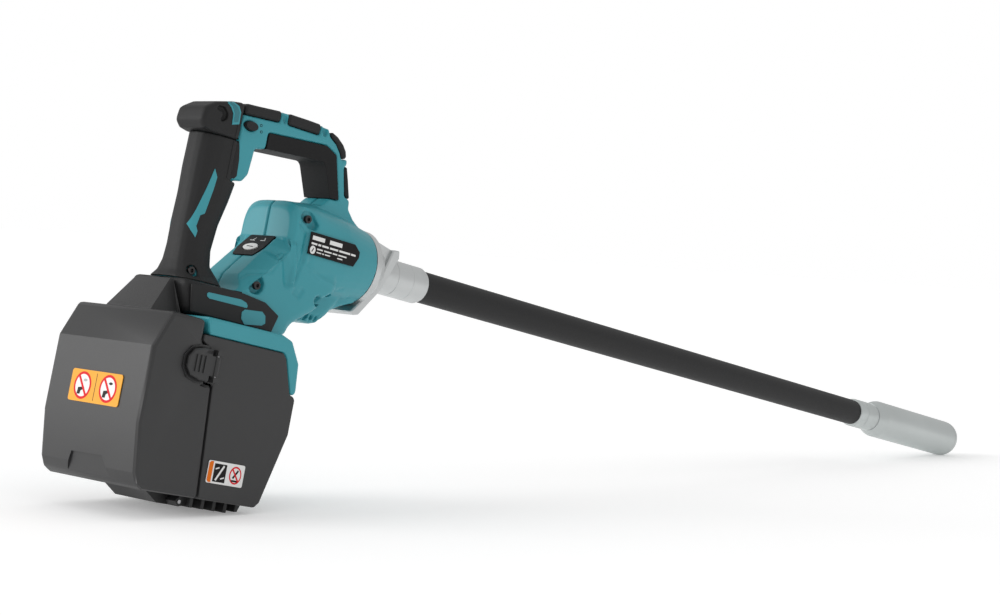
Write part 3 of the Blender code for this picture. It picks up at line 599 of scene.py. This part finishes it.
def press(bm, line, width, depth, side):
    """Moves the skin in by depth along a line of (X, Z) points, fading out over the width."""
    bm.normal_update()
    moves = []
    for vert in bm.verts:
        if vert.normal.y * side < 0.25:
            continue
        near = distance_to(vert, line)
        if near < width:
            fall = 0.5 + 0.5 * math.cos(math.pi * near / width)
            moves.append((vert, -vert.normal * depth * fall))
    for vert, move in moves:
        vert.co += move


RAMP_MIDDLE, RAMP_OUT = Vector((-184.9, 0.0, -4.8)), Vector((-0.7286, 0.0, 0.6850))
RAMP_HALF_WIDTH, RAMP_FRONT, RAMP_FOOT, RAMP_CHAMFER = 17.5, -176.5, -45.0, 0.52


def fall_away(bm, side):
    """Chamfers the flat of the ramp beside the mode panel down towards the side of the base."""
    for vert in bm.verts:
        over = vert.co.y * side - RAMP_HALF_WIDTH
        if over > 0.0 and vert.co.x < RAMP_FRONT and vert.co.z > RAMP_FOOT:
            drop = (vert.co - RAMP_MIDDLE).dot(RAMP_OUT) + RAMP_CHAMFER * over
            if drop > 0.0:
                vert.co -= RAMP_OUT * drop


def split_off(bm, planes):
    """Cuts bm along each plane (point, normal) and takes the faces behind them all into a second bmesh."""
    for point, normal in planes:
        bmesh.ops.bisect_plane(bm, geom=list(bm.verts) + list(bm.edges) + list(bm.faces), dist=0.001,
                               plane_co=point, plane_no=normal)

    def behind(face):
        middle = face.calc_center_median()
        return all((middle - Vector(point)).dot(Vector(normal)) < 0.0 for point, normal in planes)

    other = bm.copy()
    bmesh.ops.delete(other, geom=[f for f in other.faces if not behind(f)], context="FACES")
    bmesh.ops.delete(bm, geom=[f for f in bm.faces if behind(f)], context="FACES")
    for shape in (bm, other):            # the cut leaves an open edge on both, which a cap closes
        capped = bmesh.ops.holes_fill(shape, edges=[e for e in shape.edges if e.is_boundary], sides=0)
        bmesh.ops.triangulate(shape, faces=capped["faces"])
    return other


FOLDS = (                                # a line, its width and its depth; a rib has a depth below zero
    (((-168.4, 17.0), (-161.6, 11.0), (-162.0, -12.0), (-166.4, -30.0)), 3.2, 1.3),
    (((-157.6, 11.0), (-158.0, -13.0), (-141.0, -20.0), (-98.0, -27.5)), 3.0, -0.8),
    (((-184.0, -9.0), (-177.5, -14.0), (-172.5, -30.0)), 6.0, 2.2),
    (((-172.6, -1.0), (-168.8, -13.0), (-166.8, -32.0)), 3.2, -2.0),
    (((-163.6, -36.0), (-158.6, -38.2), (-155.6, -33.0)), 3.2, 1.2),
    (((-216.0, -38.6), (-204.8, -29.8), (-190.0, -25.4), (-178.5, -8.0)), 2.2, 0.8))
FOOT_CUTS = (((0.0, 0.0, -45.8), (0.0, 0.0, 1.0)), ((-213.4, 0.0, 0.0), (1.0, 0.0, 0.0)))


def dress_half(node, side):
    """A housing half with its folds, as a teal skin and a black foot."""
    bm = housing_half(node, side)
    fall_away(bm, side)
    for line, width, depth in FOLDS:
        press(bm, line, width, depth, side)
    base = split_off(bm, FOOT_CUTS)
    skin = settle(f"{node}_skin", bm, FINISHES["housing_teal"], "tool", (node,), 50.0)
    settle(f"{node}_base", base, FINISHES["overmould_black"], "tool", crease=50.0)
    return skin


half_left = dress_half("housing_left", 1)
half_right = dress_half("housing_right", -1)
print("housing skins:", len(half_left.data.polygons), "and", len(half_right.data.polygons), "faces")

# %% [markdown]
# ## Rubber overmoulds
# The rear grip and the carrying grip are soft rubber moulded over the housing. The carrying grip is drawn
# from its outline with generously rounded edges. The rear grip takes an even skin, and a teal flash of the
# housing shows through it on each side.

# %% Rear grip and its flashes
grip = settle("rear_grip_skin", moulded(cad_copy("rear_grip_sleeve"), 0.9, 6), FINISHES["overmould_black"],
              "tool", ("rear_grip_sleeve",), 50.0)
FLASH = ((-248.2, 40.5), (-244.8, 34.6), (-246.0, 24.0), (-249.4, 5.8), (-252.8, 3.6), (-254.4, -5.0),
         (-252.6, -8.4), (-253.4, -13.4), (-257.5, -8.8), (-260.2, -4.6), (-256.4, 7.0), (-251.4, 26.0))
grip_surface = surface_of(grip)
for side in (-1, 1):
    inlay(f"grip_flash_{side > 0}", FLASH, grip_surface, FINISHES["housing_teal"], "tool",
          side, 0.3, 0.8)
print("rear grip:", len(grip.data.polygons), "faces and two flashes")

# %% Carrying grip and pads
SOFT_GRIP = ((-203.0, 79.5), (-142.8, 84.9), (-131.3, 80.2), (-120.4, 46.5), (-129.6, 45.9),
             (-140.6, 70.0), (-143.5, 72.2), (-203.0, 67.0))
PALM_RUN = ((-129.6, 45.9), (-140.6, 70.0), (-143.5, 72.2), (-203.0, 67.0))
PALM_ROUND = 5.0
soft = slab(SOFT_GRIP, -15.5, 15.5)
crook = [e for e in soft.edges if abs(e.verts[0].co.y - e.verts[1].co.y) > 5.0
         and all(distance_to(v, PALM_RUN[1:3]) < 0.1 for v in e.verts)]
bmesh.ops.bevel(soft, geom=crook, offset=PALM_ROUND, segments=5, profile=0.5, affect="EDGES", material=-1,
                clamp_overlap=True)
palm_edges = [e for e in soft.edges if abs(e.verts[0].co.y - e.verts[1].co.y) < 0.1
              and all(distance_to(v, PALM_RUN) < 3.5 for v in e.verts)]
bmesh.ops.bevel(soft, geom=palm_edges, offset=PALM_ROUND, segments=7, profile=0.5, affect="EDGES",
                material=-1, clamp_overlap=True)
# the darker rubber of the carrying grip is painted shade
settle("soft_grip_surface", round_edges(soft, 1.6, 3, 50.0),
       FINISHES["soft_rubber_painted_shade"], "tool", ("soft_grip",), 50.0, weighted=True)
for node in ("top_pad_rear", "top_pad_front", "corner_pad", "leg_pad"):
    rounded_copy(node, 0.4, 2, 20.0)
print("palm side of the carrying grip rounded on", len(palm_edges), "edges")

# %% [markdown]
# The cap at the top of the rear grip joins the two grips. A strap hooks on at each side of it: a hook is cut
# into the cap, and a teal slot of the housing shows beside it. The slot is two flat sheets, a teal rim and inside
# it a darker teal sheet of painted shade where the groove would lie in shadow.

# %% Cap with its strap hooks
HOOK = ((-258.8, 84.0), (-256.4, 87.2), (-250.6, 87.4), (-246.6, 83.6), (-246.4, 79.4), (-250.4, 76.2),
        (-253.6, 77.0), (-251.4, 80.2), (-252.6, 83.2))
cap_shape = carved(cad_copy("grip_cap"), slab(HOOK, -19.0, -13.2), slab(HOOK, 13.2, 19.0))
cap = settle("grip_cap_skin", moulded(cap_shape, 0.7, 4), FINISHES["overmould_black"],
             "tool", ("grip_cap",), 50.0)
cap_surface = surface_of(cap)
SLOT_RIM = ((-250.6, 92.0), (-243.6, 93.6), (-238.2, 91.4), (-235.4, 87.4), (-235.0, 78.2), (-241.6, 76.2),
            (-242.4, 84.6), (-245.4, 88.6))
SLOT_SHADED_INSIDE = ((-247.4, 91.8), (-243.6, 92.2), (-239.2, 90.2), (-236.6, 86.8), (-236.4, 79.6), (-240.6, 78.2),
               (-241.2, 85.2), (-244.0, 89.2))
for side in (-1, 1):
    inlay(f"strap_slot_rim_{side > 0}", SLOT_RIM, cap_surface, FINISHES["housing_teal"],
          "tool", side, 0.35, 0.6)
    # the darker sheet inside each rim is painted shade, not a cut groove
    inlay(f"strap_slot_{side > 0}", SLOT_SHADED_INSIDE, cap_surface, SLOT_PAINTED_SHADE, "tool",
          side, 0.45, 0.4)
print("grip cap:", len(cap.data.polygons), "faces")

# %% [markdown]
# A narrow black cheek runs down beside the trigger. It lies across four pieces, so they share one surface.

# %% Black cheek beside the trigger
CHEEK = ((-231.6, 36.2), (-229.4, 36.8), (-227.0, 40.0), (-227.6, 52.0), (-230.4, 66.5), (-233.6, 80.4),
         (-236.0, 80.6), (-236.0, 36.2))
cheek_surface = surface_of(half_left, half_right, grip, cap)
for side in (-1, 1):
    inlay(f"trigger_cheek_{side > 0}", CHEEK, cheek_surface, FINISHES["overmould_black"],
          "tool", side, 0.25, 0.8, 1.5)
print("one cheek on each side of the trigger")

# %% [markdown]
# The base of the handle wears a black cover on each side. A teal bar and a blank teal badge sit in it.

# %% Base covers, their bars and badges
BAR = ((-250.0, -54.0), (-248.6, -52.8), (-217.0, -52.0), (-211.5, -53.4), (-209.6, -55.4), (-210.0, -57.2),
       (-247.0, -57.2), (-249.4, -56.0))
BADGE = ((-211.6, -60.0), (-194.4, -58.4), (-190.6, -61.0), (-189.4, -66.6), (-192.6, -68.8), (-209.4, -71.0),
         (-213.4, -67.4), (-214.0, -62.6))
for side, word in ((1, "left"), (-1, "right")):
    cover = rounded_copy(f"base_cover_{word}", 0.5, 3, 24.0)
    ground = surface_of(cover)
    inlay(f"cover_bar_{word}", BAR, ground, FINISHES["housing_teal"], "tool", side, 0.35, 0.5)
    inlay(f"cover_badge_{word}", [(x, z + 1.4) for x, z in BADGE], ground, FINISHES["housing_teal"],
          "tool", side, 0.35, 0.5)
    print(f"cover on the {word}:", len(cover.data.polygons), "faces")

# %% [markdown]
# ## The battery case
# The case is a plain box with soft corners. Its lid swings down about a pin at the floor. A shallow finger
# recess is cut low on the lid, and a raised rim stands around each latch.

# %% Case, trim and lid
rounded_copy("battery_case", 0.5, 3, 24.0)
rounded_copy("case_trim", 0.5, 3, 20.0)
RECESS = ((19.0, -184.6), (-18.0, -184.2), (-28.5, -201.0), (26.0, -201.0))
RECESS_BACK, RECESS_FLOOR, RECESS_TOP, RECESS_FALL = -312.0, -299.9, -184.4, 0.25
recess = slab(RECESS, RECESS_BACK, RECESS_FLOOR, "X")
for vert in recess.verts:                # the floor of the recess slopes deeper towards the foot
    if vert.co.x > (RECESS_BACK + RECESS_FLOOR) / 2:
        vert.co.x -= RECESS_FALL * (vert.co.z - RECESS_TOP)
lid_shape = round_edges(carved(cad_copy("case_lid"), recess), 0.6, 3, 24.0)
settle("case_lid_surface", lid_shape, FINISHES["case_grey"], "lid", ("case_lid",), 16.0)


def latch_rim(word, side):
    """A raised D on the lid around the finger end of a latch, with its middle pressed back."""
    outer = [(-256.0, -92.6), (-263.0, -92.8), (-271.8, -95.2), (-277.4, -102.4), (-277.4, -111.0),
             (-271.8, -118.2), (-263.0, -120.9), (-256.0, -121.2)]
    low, high = sorted((side * 57.2, side * 58.6))
    bm = slab(outer, low, high)
    caps = [f for f in bm.faces if abs(f.normal.y) > 0.9]
    bmesh.ops.inset_region(bm, faces=caps, thickness=1.7, use_even_offset=True, depth=0.0)
    top = [f for f in bm.faces if f.normal.y * side > 0.9 and len(f.verts) == len(outer)]
    bmesh.ops.translate(bm, vec=(0.0, -side * 0.9, 0.0), verts=list({v for f in top for v in f.verts}))
    round_edges(bm, 0.25, 2, 40.0)
    settle(f"latch_rim_{word}", bm, FINISHES["case_grey"], "lid", crease=40.0)


for word, side in (("left", 1), ("right", -1)):
    latch_rim(word, side)
    latch = rounded_copy(f"latch_{word}", 0.25, 2, 24.0)
    print(f"latch on the {word}:", len(latch.data.polygons), "faces")

# %% [markdown]
# ## Controls
# The trigger and the lock-off button are black. The mode key is a white oval in a black panel. The screws
# keep the shapes of their CAD nodes, with a small round on each edge.

# %% Trigger, lock, mode key and screws
rounded_copy("trigger", 0.4, 3, 20.0)
rounded_copy("lock_off_button", 0.5, 3, 24.0)
panel = rounded_copy("mode_panel", 0.25, 2, 30.0)
key = rounded_copy("mode_button", 0.25, 2, 30.0)
SCREWS = ("screw_motor", "screw_ramp", "screw_chin", "screw_grip_foot")
for node in SCREWS:
    rounded_copy(node, 0.3, 2, 30.0)
print("trigger, lock, panel, key and", len(SCREWS), "screws")


# %% Printed marks
def mark(name, points, below, skin, body, side=-1, proud=0.1, toward="Y"):
    """An inlay as thin as ink, which stands on its film by a tenth of a millimetre or so."""
    return inlay(name, points, below, skin, body, side, proud, sink=0.15, step=3.0, toward=toward)


def bar_points(centre, length, width, turn=0.0):
    """The corners of a straight bar, turned about its middle."""
    c, s = math.cos(turn), math.sin(turn)
    return [(centre[0] + a * c - b * s, centre[1] + a * s + b * c)
            for a, b in ((-length / 2, -width / 2), (length / 2, -width / 2), (length / 2, width / 2),
                         (-length / 2, width / 2))]


# %% [markdown]
# ## Labels
# A label is printed film. The film is its CAD node, and each printed shape is a hair-thin sheet on top of it:
# two crossed-out discs on the lid, a disc and a square on the side, and rows of dashes in place of words.
# Sheets that cross each other stand at different heights, so that no two share a face.

# %% Rear label
def film_with_round_corners(node, radius, body):
    """A label's own CAD sheet with its four corners rounded, as a die cuts it."""
    bm = cad_copy(node)
    short = [e for e in bm.edges if e.calc_length() < 1.0]
    bmesh.ops.bevel(bm, geom=short, offset=radius, segments=5, profile=0.5, affect="EDGES", material=-1,
                    clamp_overlap=True)
    return settle(f"{node}_film", bm, FINISHES[slot_of_node[node]], body, (node,), 30.0)


film = film_with_round_corners("rear_label", 2.2, "lid")
film_top = surface_of(film)


PRINT = FINISHES["label_white"]
DISC_SHARE, SLASH_LENGTH, SLASH_WIDTH = 0.81, 1.8, 0.2


def crossed_disc(name, centre, radius, below, body, toward, lean, squeeze=1.0):
    """A white disc in a red ring with a red slash across it."""
    mark(f"{name}_rim", ring_points(centre, radius * squeeze, radius), below, INK_RED, body,
         proud=0.06, toward=toward)
    mark(f"{name}_disc", ring_points(centre, radius * DISC_SHARE * squeeze, radius * DISC_SHARE),
         below, PRINT, body, proud=0.10, toward=toward)
    mark(f"{name}_slash", bar_points(centre, radius * SLASH_LENGTH, radius * SLASH_WIDTH, lean), below,
         INK_RED, body, proud=0.18, toward=toward)


SIGN_PLACES, SIGN_LEVEL = (14.2, -16.2), -136.6
for index, y in enumerate(SIGN_PLACES):
    centre = (y, SIGN_LEVEL)
    crossed_disc(f"rear_sign_{index}", centre, 10.2, film_top, "lid", "X", math.radians(52.0))
    block = [(y + 5.2, -143.2), (y + 1.6, -143.2), (y + 1.0, -140.6), (y - 1.8, -139.4), (y - 1.2, -137.6),
             (y + 4.6, -138.4)]
    mark(f"rear_sign_block_{index}", block, film_top, INK_BLACK, "lid", proud=0.14, toward="X")
    mark(f"rear_sign_drop_{index}", ring_points((y - 2.6, -132.6), 2.2, 1.0, 16), film_top,
         INK_BLACK if index else INK_GREY, "lid", proud=0.14, toward="X")
mark("rear_label_divider", bar_points((-1.0, -136.7), 0.5, 20.0), film_top, INK_BLACK, "lid",
     proud=0.06, toward="X")
print("rear label with", len(SIGN_PLACES), "signs")

# %% [markdown]
# The side label is smaller. An orange strip, a black square and one more crossed-out disc fill it.

# %% Side label
side_film = film_with_round_corners("side_label", 1.4, "tool")
side_top = surface_of(side_film)
STRIP = [(-234.0, -189.5), (-231.6, -189.5), (-231.6, -174.0), (-234.0, -174.0), (-235.5, -175.4),
         (-235.5, -188.1)]
mark("side_strip", STRIP, side_top, INK_ORANGE, "tool", proud=0.06)
mark("side_square", [(-230.2, -188.6), (-218.4, -188.6), (-218.4, -175.2), (-230.2, -175.2)], side_top,
     INK_BLACK, "tool", proud=0.06)
mark("side_square_bar", bar_points((-224.3, -181.9), 13.0, 1.6, math.radians(60.0)), side_top,
     PRINT, "tool", proud=0.10)
for i, (x, z) in enumerate(((-227.2, -178.6), (-221.2, -185.4))):
    mark(f"side_square_dash_{i}", bar_points((x, z), 3.6, 1.0, math.radians(20.0)), side_top,
         PRINT, "tool", proud=0.10)
crossed_disc("side_sign", (-209.2, -181.8), 6.6, side_top, "tool", "Y", math.radians(-52.0), 0.88)
mark("side_sign_bar", bar_points((-209.2, -181.0), 7.6, 1.6, math.radians(55.0)), side_top, INK_BLACK,
     "tool", proud=0.14)
mark("side_sign_foot", bar_points((-209.2, -186.0), 6.4, 1.4), side_top, INK_BLACK, "tool",
     proud=0.14)
print("side label film:", len(side_film.data.polygons), "faces")

# %% [markdown]
# A rating plate has a title and lines of small print. Here they are blank dashes of about the same lengths.

# %% Rating plate
plate = rounded_copy("rating_plate", 0.3, 2, 30.0)
plate_top = surface_of(plate)


def printed_row(name, start, level, height, dashes):
    """Blank dashes that stand where a rating plate has its words."""
    x = start
    for i, (length, gap) in enumerate(dashes):
        mark(f"{name}_{i}", bar_points((x + length / 2, level), length, height), plate_top, PRINT,
             "tool", proud=0.08)
        x += length + gap


printed_row("plate_title", -157.6, 8.8, 3.2, ((13.0, 5.5), (13.5, 0.0)))
printed_row("plate_line_1", -157.8, 4.3, 1.5,
            ((6.0, 1.2), (3.0, 1.2), (7.0, 1.4), (9.0, 1.2), (12.0, 1.0), (5.0, 0.0)))
printed_row("plate_line_2", -151.0, 0.9, 1.1, ((6.0, 1.6), (8.0, 1.2), (5.0, 1.2), (9.0, 0.0)))
printed_row("plate_line_3", -151.0, -1.7, 0.9, ((5.0, 1.0), (2.0, 1.0), (5.5, 8.0), (5.5, 0.0)))
mark("plate_badge", ring_points((-155.4, -0.6), 2.9, 3.2, 32), plate_top, PRINT, "tool",
     proud=0.06)
mark("plate_badge_slash", bar_points((-155.4, -0.6), 3.4, 0.9, math.radians(60.0)), plate_top, INK_BLACK,
     "tool", proud=0.10)
print("rating plate printed")

# %% [markdown]
# Small strokes beside the mode key, a wave on it and two rings near the lock-off button are all the marks
# that the controls carry.

# %% Marks by the mode key and the lock button
panel_top = surface_of(panel)
for i, y in enumerate((-6.0, 6.0)):
    mark(f"mode_mark_{i}", bar_points((y, -0.4), 5.6, 0.5), panel_top, PRINT, "tool",
         proud=0.08, toward="X")
    mark(f"mode_mark_rise_{i}", bar_points((y - 1.0, 1.0), 2.6, 0.5, math.radians(-50.0 if i else 50.0)),
         panel_top, PRINT, "tool", proud=0.08, toward="X")
mark("mode_key_wave", bar_points((0.0, -6.4), 8.0, 0.7, math.radians(4.0)), surface_of(key), INK_BLACK,
     "mode_button", proud=0.06, toward="X")
shell_side = surface_of(half_right)
for i, (x, z) in enumerate(((-212.6, 83.2), (-211.4, 78.4))):
    mark(f"lock_mark_{i}", ring_points((x, z), 1.3, 1.1, 16), shell_side, INK_BLACK, "tool",
         proud=0.08)
    mark(f"lock_mark_inner_{i}", ring_points((x, z), 0.8, 0.6, 16), shell_side, FINISHES["housing_teal"],
         "tool", proud=0.12)
print("marks on the panel, the key and the housing")
